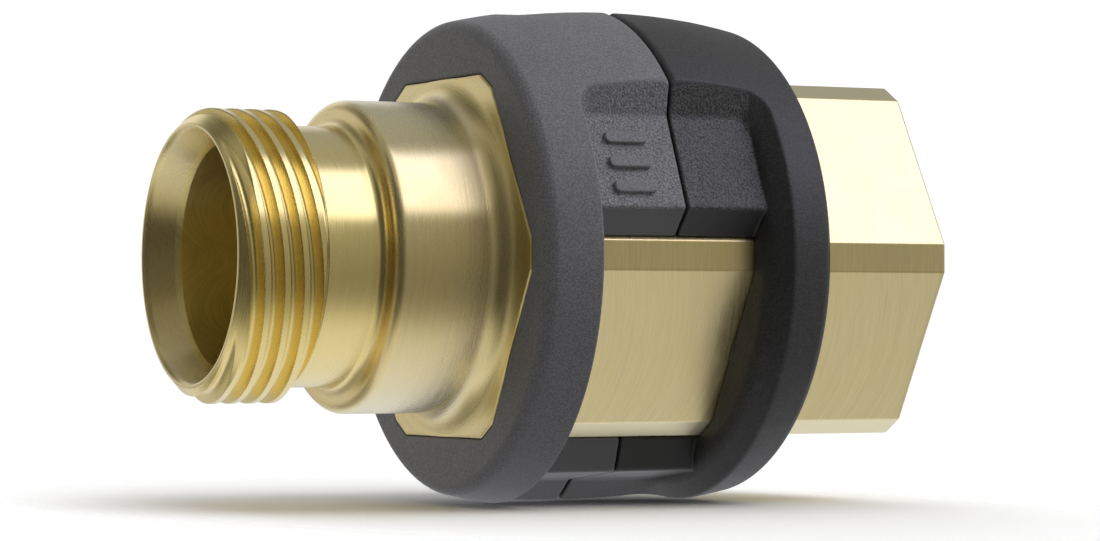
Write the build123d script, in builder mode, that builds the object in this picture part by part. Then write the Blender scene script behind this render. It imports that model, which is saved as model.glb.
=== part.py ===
from build123d import *
import math
import os

# High-pressure hose adapter: a turned and milled brass body with a trapezoidal
# male thread at one end and a threaded socket with a sealing nipple at the
# other, carrying a grip sleeve moulded in two halves.
# Millimetres. X runs along the flow axis from the male mouth (-X, front) to the
# socket (+X, rear), Z is up, and the origin is on the axis at mid length.
# Angles about the axis are in degrees, from -Y towards +Z.

cut_over = 1.0                 # how far cutting shapes run past open faces

# ---- brass body: sizes --------------------------------------------------
overall_length = 56.0
x_mouth = -overall_length / 2
x_rear = overall_length / 2

# hexagon bar
hex_af = 27.0                  # across flats
corner_apothem = 14.96         # axis to the small flat on each corner
x_hex_front = -7.5
hex_overlap = 0.5              # how far the turned front end runs into the bar

# collar and neck
collar_r = 11.7
x_collar_front = -16.5
collar_edge_r = 0.8
collar_root_r = 1.75           # fillet into the hexagon's front face
neck_r = 9.7
neck_root_r = 0.7

# male thread, drawn as rings at its true pitch and profile
crest_r = 10.85
root_r = 9.92
pitch = 1.5
crest_w = 0.48
root_w = 0.56
x_first_crest = -26.85
crest_count = 4
lead_in_r = 9.70
thread_run_out = 0.5           # length of the cone from the last crest to the neck

# mouth and bores
mouth_r = 9.45
mouth_bore_r = 8.25
mouth_cone_len = 2.64
x_mouth_bore_end = -6.5
bore_end_slope = 0.577         # axial run of the bore's end cone per unit of radius
flow_r = 4.0

# socket, its thread drawn the same way
socket_minor_r = 10.19
socket_major_r = 11.05
socket_pitch = 1.5
socket_crest_w = 0.4
socket_root_w = 0.2
socket_crest_count = 6
socket_mouth_r = 11.25
relief_r = 11.2
relief_run_out = 0.9           # length of the cone from the relief to the thread
x_socket_floor = 11.5
x_socket_thread = 18.6
press_hole_r = 6.0
x_press_shoulder = 2.5

# ---- sealing nipple and its seals: sizes --------------------------------
stem_r = 6.01                  # pressed into the body
stem_chamfer_len = 0.5
stem_chamfer_depth = 0.3
flange_r = 8.6
flange_t = 1.6
flange_chamfer = 0.3
nipple_r = 7.0
x_nipple_tip = 18.2
tip_chamfer = 0.7
tip_bore_chamfer = 0.5
groove_floor_r = 5.48
x_groove = 13.7
groove_w = 3.2

backup_t = 0.95
backup_in_r = 5.52
backup_out_r = 6.96
backup_edge_r = 0.12
backup_gap = 0.04              # groove's front wall to the backup ring
o_ring_section_r = 1.0
o_ring_centre_r = 6.5
o_ring_gap = 0.05              # backup ring to the O-ring
x_backup = x_groove + backup_gap
x_o_ring = x_backup + backup_t + o_ring_gap + o_ring_section_r

# ---- grip sleeve: sizes -------------------------------------------------
barrel_peak_r = 19.2
x_barrel_peak = 4.4
barrel_arc_front = 50.6        # radii of the barrel's arcs each side of the peak
barrel_arc_rear = 55.6
x_front_face = -7.45
x_rear_face = 16.3
x_seam = 4.5
seam_gap = 0.10
x_front_end = x_seam - seam_gap / 2
x_rear_start = x_seam + seam_gap / 2
blank_bore_r = 10.0            # inside the hexagonal hole, which removes it
sleeve_clear = 0.05            # between the hexagon and the sleeve's hole

# outer edge at the end faces, rounded in short straight steps
face_r = 17.1
face_edge = 0.75               # axial length of the whole rounding
face_step_1 = 0.12             # axial place of the first step
face_step_2 = 0.42             # its rise, and the axial place of the second step
face_step_drop = 0.05          # second step below the barrel

# outer edge at the seam
seam_edge = 0.35
seam_step = 0.1

# windows, one on each side of the sleeve
window_angles = (-30.0, 150.0)
x_window_front = -3.5
x_window_rear = 11.05          # the square part of the rear wall

# window outline, each point as (radius, angle from the window's centre)
lip_in = (14.92, 34.95)
lip_out = (17.04, 41.7)
pad_end = (17.14, 66.9)
ridge_edge = (19.2, 72.6)
lip_run_out = 1.2              # straight run inwards past lip_in
ridge_run_out = 4.0            # straight run outwards past ridge_edge
far_r = 26.0                   # closes the outline outside the sleeve
far_angle = 45

# the rear wall leans back to the rim on a cone between these radii
lean_r_in = 16.9
lean_r_out = 18.62
x_lean_rim = 12.5
lean_overlap = 0.5             # the leaning cut starts this far inside the window
lean_cut_len = 4.0
lean_cut_r = 30.0

# pegs that hold the halves together, two in each ridge between the windows
peg_r = 1.0
peg_len = 3.0
peg_tip_chamfer = 0.25
peg_root = 0.5                 # length buried in the rear half
peg_clear = 0.05
peg_hole_depth = 3.4
peg_centre_r = 16.9
peg_spread = 8.0               # each side of the ridge's middle
peg_angles = [window + 90 + side * peg_spread for window in window_angles for side in (-1, 1)]

# finger ribs on the front half's pads
rib_l = 3.5
rib_w = 0.95
rib_h = 0.36
rib_root = 0.3                 # depth buried in the pad
rib_step = 2.0
rib_count = 3
rib_x = 0.4
rib_shift = 0.2                # off the pad's middle, towards the window


def polar(radius, angle):
    """A point at a radius and an angle from -Y towards +Z, as (Y, Z)."""
    turn = math.radians(angle)
    return (-radius * math.cos(turn), radius * math.sin(turn))


def hex_points(clear=0.0):
    """The twelve corners of the bar's section: a hexagon with its corners cut flat."""
    apothem = hex_af / 2 + clear
    corner = corner_apothem + clear
    half = (apothem / math.cos(math.radians(30)) - corner) * math.tan(math.radians(60))
    points = []
    for i in range(6):
        turn = math.radians(60 * i)
        for y in (-half, half):
            points.append((corner * math.cos(turn) - y * math.sin(turn),
                           corner * math.sin(turn) + y * math.cos(turn)))
    return points


def thread_profile(x_start, step, land_w, land_r, floor_w, floor_r, land_count):
    """Trapezoidal rings as (X, radius), starting and ending on a land."""
    flank = (step - land_w - floor_w) / 2
    points = [(x_start, land_r)]
    for i in range(land_count):
        x = x_start + i * step
        points.append((x + land_w, land_r))
        if i < land_count - 1:
            points += [(x + land_w + flank, floor_r), (x + step - flank, floor_r),
                       (x + step, land_r)]
    return points


# ---- brass body ---------------------------------------------------------
def make_brass_body():
    thread = thread_profile(x_first_crest, pitch, crest_w, crest_r,
                            root_w, root_r, crest_count)
    socket = thread_profile(x_socket_thread, socket_pitch, socket_crest_w, socket_minor_r,
                            socket_root_w, socket_major_r, socket_crest_count)
    hex_root_r = collar_r + collar_root_r
    with BuildPart() as body:
        # hexagon bar
        with BuildSketch(Plane.YZ.offset(x_hex_front)):
            with BuildLine():
                Polyline(*hex_points(), close=True)
            make_face()
        extrude(amount=x_rear - x_hex_front)
        # turned thread, neck and collar, with a cone leading into the thread
        with BuildSketch(Plane.XY):
            with BuildLine():
                Polyline((x_hex_front + hex_overlap, 0), (x_mouth, 0),
                         (x_mouth, lead_in_r), *thread,
                         (thread[-1][0] + thread_run_out, neck_r),
                         (x_collar_front - neck_root_r, neck_r))
                CenterArc((x_collar_front - neck_root_r, neck_r + neck_root_r),
                          neck_root_r, -90, 90)
                Line((x_collar_front, neck_r + neck_root_r),
                     (x_collar_front, collar_r - collar_edge_r))
                CenterArc((x_collar_front + collar_edge_r, collar_r - collar_edge_r),
                          collar_edge_r, 180, -90)
                Line((x_collar_front + collar_edge_r, collar_r),
                     (x_hex_front - collar_root_r, collar_r))
                CenterArc((x_hex_front - collar_root_r, hex_root_r),
                          collar_root_r, -90, 90)
                Polyline((x_hex_front, hex_root_r),
                         (x_hex_front + hex_overlap, hex_root_r),
                         (x_hex_front + hex_overlap, 0))
            make_face()
        revolve(axis=Axis.X)
        # bores, from the mouth to the socket
        with BuildSketch(Plane.XY):
            with BuildLine():
                Polyline(
                    (x_mouth - cut_over, 0), (x_mouth - cut_over, mouth_r),
                    (x_mouth, mouth_r), (x_mouth + mouth_cone_len, mouth_bore_r),
                    (x_mouth_bore_end, mouth_bore_r),
                    (x_mouth_bore_end + (mouth_bore_r - flow_r) * bore_end_slope, flow_r),
                    (x_press_shoulder, flow_r), (x_press_shoulder, press_hole_r),
                    (x_socket_floor, press_hole_r), (x_socket_floor, relief_r),
                    (x_socket_thread - relief_run_out, relief_r), *socket,
                    (x_rear, socket_mouth_r), (x_rear + cut_over, socket_mouth_r),
                    (x_rear + cut_over, 0), close=True)
            make_face()
        revolve(axis=Axis.X, mode=Mode.SUBTRACT)
    return body.part


# ---- sealing nipple -----------------------------------------------------
def make_sealing_nipple():
    x_flange_rear = x_socket_floor + flange_t
    with BuildPart() as nipple:
        with BuildSketch(Plane.XY):
            with BuildLine():
                Polyline(
                    (x_press_shoulder, flow_r),
                    (x_press_shoulder, stem_r - stem_chamfer_depth),
                    (x_press_shoulder + stem_chamfer_len, stem_r),
                    (x_socket_floor, stem_r),
                    (x_socket_floor, flange_r - flange_chamfer),
                    (x_socket_floor + flange_chamfer, flange_r),
                    (x_flange_rear, flange_r), (x_flange_rear, nipple_r),
                    (x_groove, nipple_r), (x_groove, groove_floor_r),
                    (x_groove + groove_w, groove_floor_r), (x_groove + groove_w, nipple_r),
                    (x_nipple_tip - tip_chamfer, nipple_r),
                    (x_nipple_tip, nipple_r - tip_chamfer),
                    (x_nipple_tip, flow_r + tip_bore_chamfer),
                    (x_nipple_tip - tip_bore_chamfer, flow_r), close=True)
            make_face()
        revolve(axis=Axis.X)
    return nipple.part


# ---- seals in the nipple's groove ---------------------------------------
def make_backup_ring():
    with BuildPart() as ring:
        with BuildSketch(Plane.XY):
            with Locations((x_backup + backup_t / 2, (backup_in_r + backup_out_r) / 2)):
                Rectangle(backup_t, backup_out_r - backup_in_r)
            fillet(vertices(), radius=backup_edge_r)
        revolve(axis=Axis.X)
    return ring.part


def make_o_ring():
    with BuildPart() as ring:
        with BuildSketch(Plane.XY):
            with Locations((x_o_ring, o_ring_centre_r)):
                Circle(o_ring_section_r)
        revolve(axis=Axis.X)
    return ring.part


# ---- shapes shared by the sleeve halves ---------------------------------
def barrel(x):
    """Outer radius of the grip sleeve at x, on a shallow arc each side of its peak."""
    offset = x - x_barrel_peak
    arc = barrel_arc_rear if offset > 0 else barrel_arc_front
    return barrel_peak_r - (arc - math.sqrt(arc ** 2 - offset * offset))


def face_end(x, inward):
    """Profile of an end face, from the bore out to the barrel; inward is +1 or -1."""
    x_step = x + inward * face_step_2
    x_arc = x + inward * face_edge
    return [(x, blank_bore_r), (x, face_r),
            (x + inward * face_step_1, face_r + face_step_2),
            (x_step, barrel(x_step) - face_step_drop), (x_arc, barrel(x_arc))]


def seam_end(x, inward):
    """Profile of a seam face, from the bore out to the barrel; inward is +1 or -1."""
    x_arc = x + inward * seam_edge
    rim_r = barrel(x_arc)
    return [(x, blank_bore_r), (x, rim_r - seam_edge),
            (x + inward * seam_step, rim_r - seam_step), (x_arc, rim_r)]


def sleeve_blank(front_profile, rear_profile):
    """A turned half between two end profiles, with its hexagonal hole."""
    x_start, x_end = front_profile[0][0], rear_profile[0][0]
    arc_start, arc_end = front_profile[-1], rear_profile[-1]
    x_middle = (arc_start[0] + arc_end[0]) / 2
    with BuildPart() as blank:
        with BuildSketch(Plane.XY):
            with BuildLine():
                Polyline(*front_profile)
                ThreePointArc(arc_start, (x_middle, barrel(x_middle)), arc_end)
                Polyline(*rear_profile[::-1])
                Line(rear_profile[0], front_profile[0])
            make_face()
        revolve(axis=Axis.X)
        with BuildSketch(Plane.YZ.offset(x_start - cut_over)):
            with BuildLine():
                Polyline(*hex_points(sleeve_clear), close=True)
            make_face()
        extrude(amount=x_end - x_start + 2 * cut_over, mode=Mode.SUBTRACT)
    return blank.part


def run_out(start, end, length):
    """The point that lies a length past end on the line from start."""
    dy, dz = end[0] - start[0], end[1] - start[1]
    distance = math.hypot(dy, dz)
    return (end[0] + dy / distance * length, end[1] + dz / distance * length)


def window_outline(window):
    """One window and its two recessed pads, as a closed outline in (Y, Z)."""
    sides = []
    for side in (1, -1):
        inner, outer, pad, ridge = [polar(radius, window + side * angle)
                                    for radius, angle in (lip_in, lip_out, pad_end, ridge_edge)]
        sides.append([run_out(pad, ridge, ridge_run_out), pad, outer,
                      run_out(outer, inner, lip_run_out)])
    far = [polar(far_r, window + angle) for angle in (-far_angle, 0, far_angle)]
    return sides[0] + sides[1][::-1] + far


def window_bar(window, x_start, length):
    """A cutting bar with the window's outline."""
    with BuildPart(mode=Mode.PRIVATE) as bar:
        with BuildSketch(Plane.YZ.offset(x_start)):
            with BuildLine():
                Polyline(*window_outline(window), close=True)
            make_face()
        extrude(amount=length)
    return bar.part


def leaning_cut(window):
    """The part of a window bar outside the cone that its rear wall leans back on."""
    lean = (x_lean_rim - x_window_rear) / (lean_r_out - lean_r_in)
    x_start = x_window_rear - lean_overlap
    with BuildPart(mode=Mode.PRIVATE) as cut:
        add(window_bar(window, x_start, lean_cut_len))
        with BuildSketch(Plane.XY):
            with BuildLine():
                Polyline((x_start, lean_r_in - lean_overlap / lean),
                         (x_start, lean_cut_r),
                         (x_window_rear + (lean_cut_r - lean_r_in) * lean, lean_cut_r),
                         close=True)
            make_face()
        revolve(axis=Axis.X, mode=Mode.INTERSECT)
    return cut.part


def rib_plane(window):
    """Plane for the ribs, buried in the pad on the window's larger-angle side."""
    start = polar(lip_out[0], window + lip_out[1])
    end = polar(pad_end[0], window + pad_end[1])
    across = Vector(0, end[0] - start[0], end[1] - start[1]).normalized()
    normal = Vector(1, 0, 0).cross(across)
    if normal.dot(Vector(0, *start)) < 0:
        normal = -normal
    middle = Vector(rib_x, (start[0] + end[0]) / 2, (start[1] + end[1]) / 2)
    return Plane(origin=middle - across * rib_shift - normal * rib_root,
                 x_dir=(1, 0, 0), z_dir=normal)


# ---- front half of the grip sleeve --------------------------------------
def make_front_shell():
    blank = sleeve_blank(face_end(x_front_face, 1), seam_end(x_front_end, -1))
    with BuildPart() as shell:
        add(blank)
        # windows and recessed pads, open towards the seam
        for window in window_angles:
            add(window_bar(window, x_window_front, x_front_end - x_window_front + cut_over),
                mode=Mode.SUBTRACT)
        # holes for the pegs
        for angle in peg_angles:
            with BuildSketch(Plane.YZ.offset(x_front_end - peg_hole_depth)):
                with Locations(polar(peg_centre_r, angle)):
                    Circle(peg_r + peg_clear)
            extrude(amount=peg_hole_depth + cut_over, mode=Mode.SUBTRACT)
        # finger ribs on one pad of each window
        for window in window_angles:
            with BuildSketch(rib_plane(window)):
                with GridLocations(1, rib_step, 1, rib_count):
                    SlotOverall(rib_l, rib_w)
            extrude(amount=rib_h + rib_root)
    return shell.part


# ---- rear half of the grip sleeve ---------------------------------------
def make_rear_shell():
    blank = sleeve_blank(seam_end(x_rear_start, 1), face_end(x_rear_face, -1))
    with BuildPart() as shell:
        add(blank)
        for window in window_angles:
            add(window_bar(window, x_rear_start - cut_over,
                           x_window_rear - x_rear_start + cut_over),
                mode=Mode.SUBTRACT)
            add(leaning_cut(window), mode=Mode.SUBTRACT)
        # pegs
        for angle in peg_angles:
            with BuildSketch(Plane.YZ.offset(x_rear_start + peg_root)):
                with Locations(polar(peg_centre_r, angle)):
                    Circle(peg_r)
            extrude(amount=-(peg_len + peg_root))
        # the foremost faces are the peg tips
        chamfer(shell.faces().group_by(Axis.X)[0].edges(), length=peg_tip_chamfer)
    return shell.part


# ---- export -------------------------------------------------------------
pieces = {
    "brass_body": make_brass_body,
    "sealing_nipple": make_sealing_nipple,
    "o_ring": make_o_ring,
    "backup_ring": make_backup_ring,
    "front_shell": make_front_shell,
    "rear_shell": make_rear_shell,
}
os.makedirs("parts", exist_ok=True)
for name, make_piece in pieces.items():
    piece = make_piece()
    piece.label = name
    export_step(piece, f"parts/{name}.step")
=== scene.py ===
# Hose thread adapter: a hexagonal brass body with a male thread at its mouth (low X), a
# threaded socket at its rear (high X), a steel nipple with two seals in that socket, and a
# two-part plastic grip sleeve round the hexagon.
# Shapes are in millimetres, scaled to metres when a mesh is made. X is the flow axis, Z is up,
# and angles about the axis run from -Y towards +Z.
import itertools
import math
from functools import reduce

import bpy
import numpy as np
from mathutils import Matrix, Vector


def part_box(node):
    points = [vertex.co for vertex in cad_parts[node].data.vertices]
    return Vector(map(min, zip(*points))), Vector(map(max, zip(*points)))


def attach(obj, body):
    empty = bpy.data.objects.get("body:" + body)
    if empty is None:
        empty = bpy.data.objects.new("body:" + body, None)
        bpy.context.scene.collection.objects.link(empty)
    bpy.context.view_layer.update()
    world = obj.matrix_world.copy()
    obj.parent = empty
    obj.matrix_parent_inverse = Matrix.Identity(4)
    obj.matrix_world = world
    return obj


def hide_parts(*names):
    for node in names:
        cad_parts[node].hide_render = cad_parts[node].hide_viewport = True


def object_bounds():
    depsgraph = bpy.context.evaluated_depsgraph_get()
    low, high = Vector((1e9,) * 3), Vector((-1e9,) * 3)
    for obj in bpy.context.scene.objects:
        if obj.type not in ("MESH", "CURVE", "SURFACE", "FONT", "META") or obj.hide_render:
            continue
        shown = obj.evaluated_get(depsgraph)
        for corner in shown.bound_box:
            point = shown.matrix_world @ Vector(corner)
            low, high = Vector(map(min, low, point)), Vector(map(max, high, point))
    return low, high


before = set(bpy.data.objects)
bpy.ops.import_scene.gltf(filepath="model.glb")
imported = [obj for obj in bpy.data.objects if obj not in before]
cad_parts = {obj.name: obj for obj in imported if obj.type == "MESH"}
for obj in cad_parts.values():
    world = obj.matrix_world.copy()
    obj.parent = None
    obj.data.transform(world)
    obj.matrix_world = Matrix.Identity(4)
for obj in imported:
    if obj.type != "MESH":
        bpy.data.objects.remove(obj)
cad_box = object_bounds()
MM = 0.001


def mm_box(node):
    lo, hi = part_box(node)
    return np.array(lo) / MM, np.array(hi) / MM


# =========================================================================
# driving dimensions, mostly read from the frame
# =========================================================================
body_lo, body_hi = mm_box("brass_body")
front_lo, front_hi = mm_box("front_shell")
rear_lo, rear_hi = mm_box("rear_shell")
nipple_hi = mm_box("sealing_nipple")[1]
ring_lo, ring_hi = mm_box("o_ring")
backup_lo, backup_hi = mm_box("backup_ring")

X_MOUTH, X_REAR = float(body_lo[0]), float(body_hi[0])
APOTHEM = float(body_hi[2])            # half the hexagon's width across flats
CORNER_R = 14.96                       # axis to the flat turned on each corner
CORNER_HALF_W = 1.088                  # half the width of that flat
BORE_R = 4.0                           # flow bore, through body and nipple

X_FRONT, X_END = float(front_lo[0]), float(rear_hi[0])   # ends of the sleeve
X_HEX = X_FRONT - 0.05                 # front face of the hexagon
SEAM_GAP, SEAM_EDGE = 0.20, 0.42       # open gap between the halves, and its rounded edges
X_SEAM_F = float(front_hi[0]) + 0.05 - SEAM_GAP / 2
X_SEAM_R = X_SEAM_F + SEAM_GAP


# =========================================================================
# mesh helpers
# =========================================================================
def new_object(name, points, faces, mats, zones=None, normals=None, attributes=None):
    """A smooth quad mesh from points in mm; zones is the material index of each face."""
    mesh = bpy.data.meshes.new(name)
    coords = np.asarray(points, np.float64) * MM
    faces = np.asarray(faces, np.int32)
    sides = faces.shape[1]
    mesh.vertices.add(len(coords))
    mesh.vertices.foreach_set("co", coords.astype(np.float32).ravel())
    mesh.loops.add(faces.size)
    mesh.loops.foreach_set("vertex_index", faces.ravel())
    mesh.polygons.add(len(faces))
    mesh.polygons.foreach_set("loop_start", np.arange(0, faces.size, sides, dtype=np.int32))
    mesh.polygons.foreach_set("loop_total", np.full(len(faces), sides, np.int32))
    for mat in mats:
        mesh.materials.append(mat)
    if zones is not None:
        mesh.polygons.foreach_set("material_index", np.asarray(zones, np.int32))
    mesh.polygons.foreach_set("use_smooth", np.ones(len(faces), bool))
    mesh.update()
    mesh.validate()
    for key, values in attributes.items():
        attribute = mesh.attributes.new(key, "FLOAT", "POINT")
        attribute.data.foreach_set("value", np.asarray(values, np.float32))
    if normals is not None:
        mesh.normals_split_custom_set_from_vertices(normals.tolist())
    piece = bpy.data.objects.new(name, mesh)
    bpy.context.scene.collection.objects.link(piece)
    return piece


def register(piece, group, cad_piece):
    """Tells the frame what a piece moves with, which CAD piece it replaces."""
    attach(piece, group)
    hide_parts(cad_piece)


def smin(a, b, blend):
    """Smooth minimum, blended over the given width."""
    share = np.clip(0.5 + 0.5 * (b - a) / blend, 0, 1)
    return b * (1 - share) + a * share - blend * share * (1 - share)


def smax(a, b, blend):
    return -smin(-a, -b, blend)


def rmax(a, b, radius):
    """Intersection with its edge rounded to a radius."""
    u, v = np.maximum(a + radius, 0), np.maximum(b + radius, 0)
    return np.minimum(np.maximum(a, b), -radius) + np.hypot(u, v)


def rmin(a, b, radius):
    return -rmax(-a, -b, radius)


def arc(centre_x, centre_r, radius, degrees):
    """Points (x, r) on a circle; 0 degrees is towards +X and 90 away from the axis."""
    return [(centre_x + radius * math.cos(math.radians(deg)),
             centre_r + radius * math.sin(math.radians(deg))) for deg in degrees]


def rounded_profile(points, steps):
    """Rounds the corners of (x, r, corner radius) points, with so many steps to a right angle."""
    spots = np.array([point[:2] for point in points], float)
    outline = [tuple(spots[0])]
    for i in range(1, len(spots) - 1):
        radius = points[i][2]
        if radius <= 0:
            outline.append(tuple(spots[i]))
            continue
        back, ahead = spots[i - 1] - spots[i], spots[i + 1] - spots[i]
        back_len, ahead_len = np.linalg.norm(back), np.linalg.norm(ahead)
        back, ahead = back / back_len, ahead / ahead_len
        half = math.acos(float(np.clip(back @ ahead, -1, 1))) / 2
        cut = radius / math.tan(half)
        limit = 0.49 * min(back_len, ahead_len)
        if cut > limit:
            cut = limit
            radius = cut * math.tan(half)
        start, stop = spots[i] + back * cut, spots[i] + ahead * cut
        middle = (back + ahead) / np.linalg.norm(back + ahead)
        centre = spots[i] + middle * (radius / math.sin(half))
        first = math.atan2(*(start - centre)[::-1])
        last = math.atan2(*(stop - centre)[::-1])
        sweep = (last - first + math.pi) % (2 * math.pi) - math.pi
        count = max(2, int(steps * abs(sweep) / (math.pi / 2) + 1.5))
        for k in range(count + 1):
            theta = first + sweep * k / count
            outline.append((centre[0] + radius * math.cos(theta),
                            centre[1] + radius * math.sin(theta)))
    outline.append(tuple(spots[-1]))
    return np.array(outline)


def subdivide_profile(points, longest):
    """Breaks long straight stretches, so that attributes and shading stay even."""
    outline = [points[0]]
    for start, stop in zip(points[:-1], points[1:]):
        count = max(1, int(math.ceil(np.linalg.norm(stop - start) / longest)))
        for k in range(1, count + 1):
            outline.append(start + (stop - start) * k / count)
    return np.array(outline)


def grid_to_mesh(name, xs, radii, angle, zones, mats):
    """Rings (rows) of x and radius against angle (columns), joined into a closed skin."""
    rows, columns = xs.shape
    cosine, sine = np.cos(angle)[None, :], np.sin(angle)[None, :]
    points = np.stack([xs, -radii * cosine, radii * sine], -1).reshape(-1, 3)
    along = np.zeros((rows, columns))
    along[1:] = np.cumsum(np.hypot(np.diff(xs, axis=0), np.diff(radii, axis=0)), 0)
    row, column = np.meshgrid(np.arange(rows), np.arange(columns), indexing="ij")
    next_row, next_column = (row + 1) % rows, (column + 1) % columns
    faces = np.stack([row * columns + column, row * columns + next_column,
                      next_row * columns + next_column, next_row * columns + column],
                     -1).reshape(-1, 4)
    # wind the faces so that the normals point out of the metal
    corner = [points[faces[:, k]] for k in range(4)]
    volume = sum(np.einsum("ij,ij->i", corner[0], np.cross(corner[k], corner[k + 1])).sum()
                 for k in (1, 2))
    if volume < 0:
        faces = faces[:, ::-1]
    return new_object(name, points, faces, mats, zones.ravel(), attributes={
        "along": along.ravel(),
        "turn_c": np.broadcast_to(cosine, xs.shape).ravel(),
        "turn_s": np.broadcast_to(sine, xs.shape).ravel()})


# =========================================================================
# node helpers
# =========================================================================
class Net:
    """Builds shader nodes; an argument may be a socket to link or a plain value."""

    def __init__(self, tree):
        self.tree = tree
        self.tree.nodes.clear()

    def new(self, kind, **settings):
        node = self.tree.nodes.new(kind)
        for key, value in settings.items():
            setattr(node, key, value)
        return node

    def link(self, source, target):
        self.tree.links.new(source, target)

    def put(self, socket, value):
        if isinstance(value, bpy.types.NodeSocket):
            self.link(value, socket)
        elif value is not None:
            socket.default_value = value

    def math(self, operation, a, b=None):
        node = self.new("ShaderNodeMath", operation=operation)
        self.put(node.inputs[0], a)
        self.put(node.inputs[1], b)
        return node.outputs[0]

    def add(self, *terms):
        return reduce(lambda a, b: self.math("ADD", a, b), terms)

    def mul(self, *terms):
        return reduce(lambda a, b: self.math("MULTIPLY", a, b), terms)

    def one_minus(self, value):
        return self.math("SUBTRACT", 1.0, value)

    def vec(self, operation, a, b=None):
        node = self.new("ShaderNodeVectorMath", operation=operation)
        self.put(node.inputs[0], a)
        self.put(node.inputs[1], b)
        return node.outputs["Value" if operation in ("DOT_PRODUCT", "LENGTH") else "Vector"]

    def xyz(self, x, y, z):
        node = self.new("ShaderNodeCombineXYZ")
        for socket, value in zip(node.inputs, (x, y, z)):
            self.put(socket, value)
        return node.outputs[0]

    def grey(self, value):
        return self.xyz(value, value, value)

    def split(self, vector):
        node = self.new("ShaderNodeSeparateXYZ")
        self.put(node.inputs[0], vector)
        return node.outputs[0], node.outputs[1], node.outputs[2]

    def attr(self, name):
        return self.new("ShaderNodeAttribute", attribute_name=name).outputs["Fac"]

    def object_position(self):
        return self.new("ShaderNodeTexCoord").outputs["Object"]

    def noise(self, vector, scale, detail, rough):
        node = self.new("ShaderNodeTexNoise")
        self.put(node.inputs["Vector"], vector)
        node.inputs["Scale"].default_value = scale
        node.inputs["Detail"].default_value = detail
        node.inputs["Roughness"].default_value = rough
        return node.outputs["Fac"]

    def voronoi(self, vector, scale, feature="F1", smooth=None):
        node = self.new("ShaderNodeTexVoronoi", feature=feature)
        self.put(node.inputs["Vector"], vector)
        node.inputs["Scale"].default_value = scale
        if smooth is not None:
            node.inputs["Smoothness"].default_value = smooth
        return node.outputs["Distance"]

    def remap(self, value, span=(0.3, 0.7), to=(0.0, 1.0), smooth=False):
        """Clamped remap; the default span is the range that most noise falls in."""
        node = self.new("ShaderNodeMapRange", clamp=True)
        if smooth:
            node.interpolation_type = "SMOOTHSTEP"
        self.put(node.inputs["Value"], value)
        for key, limit in zip(("From Min", "From Max", "To Min", "To Max"), (*span, *to)):
            self.put(node.inputs[key], limit)
        return node.outputs[0]

    def mix(self, factor, a, b, blend="MIX"):
        node = self.new("ShaderNodeMix", data_type="RGBA", blend_type=blend)
        node.clamp_factor = True
        self.put(node.inputs[0], factor)
        for socket, colour in ((node.inputs[6], a), (node.inputs[7], b)):
            is_socket = isinstance(colour, bpy.types.NodeSocket)
            self.put(socket, colour if is_socket else (*colour, 1))
        return node.outputs[2]

    def shade(self, colour, tone):
        return self.mix(1.0, colour, self.grey(tone), "MULTIPLY")

    def bump(self, height, distance):
        node = self.new("ShaderNodeBump")
        node.inputs["Strength"].default_value = 1.0
        node.inputs["Distance"].default_value = distance
        self.put(node.inputs["Height"], height)
        return node.outputs[0]

    def turned_coords(self):
        """Distance along the turned profile, and cosine and sine of the angle round it."""
        return self.attr("along"), self.attr("turn_c"), self.attr("turn_s")

    def cutter_noise(self, coords, per_mm, around, detail, rough):
        """Noise drawn out round the part; around sets how short the strokes are."""
        along, cosine, sine = coords
        stretched = self.xyz(self.mul(along, per_mm), self.mul(cosine, around),
                             self.mul(sine, around))
        return self.noise(stretched, scale=1.0, detail=detail, rough=rough)

    def profile_tangent(self, geometry):
        """Unit tangent that lies across the cutter lines."""
        around = self.vec("CROSS_PRODUCT", (1.0, 0.0, 0.0), geometry.outputs["Position"])
        across = self.vec("CROSS_PRODUCT", around, geometry.outputs["Normal"])
        return self.vec("NORMALIZE", across)

    def principled(self, **inputs):
        """Ends the material; underscores in a keyword stand for the spaces in an input's name."""
        shader = self.new("ShaderNodeBsdfPrincipled")
        output = self.new("ShaderNodeOutputMaterial")
        self.link(shader.outputs[0], output.inputs[0])
        for key, value in inputs.items():
            socket = shader.inputs[key.replace("_", " ")]
            if not isinstance(value, bpy.types.NodeSocket) and socket.type == "RGBA":
                value = (*value, 1)
            self.put(socket, value)


def material(name):
    mat = bpy.data.materials.new(name)
    mat.use_nodes = True
    return mat, Net(mat.node_tree)


# =========================================================================
# materials: bump distances are in metres
# =========================================================================
BRASS = (0.89, 0.735, 0.355)
PAINTED_SHEEN_COLOUR = (0.84, 0.775, 0.535)      # painted sheen: the paler colour mixed in at grazing angles in place of the whiter reflection there
BRASS_WARMTH = (0.985, 0.955, 0.88)    # factors on the tint where it is cloudiest


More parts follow.
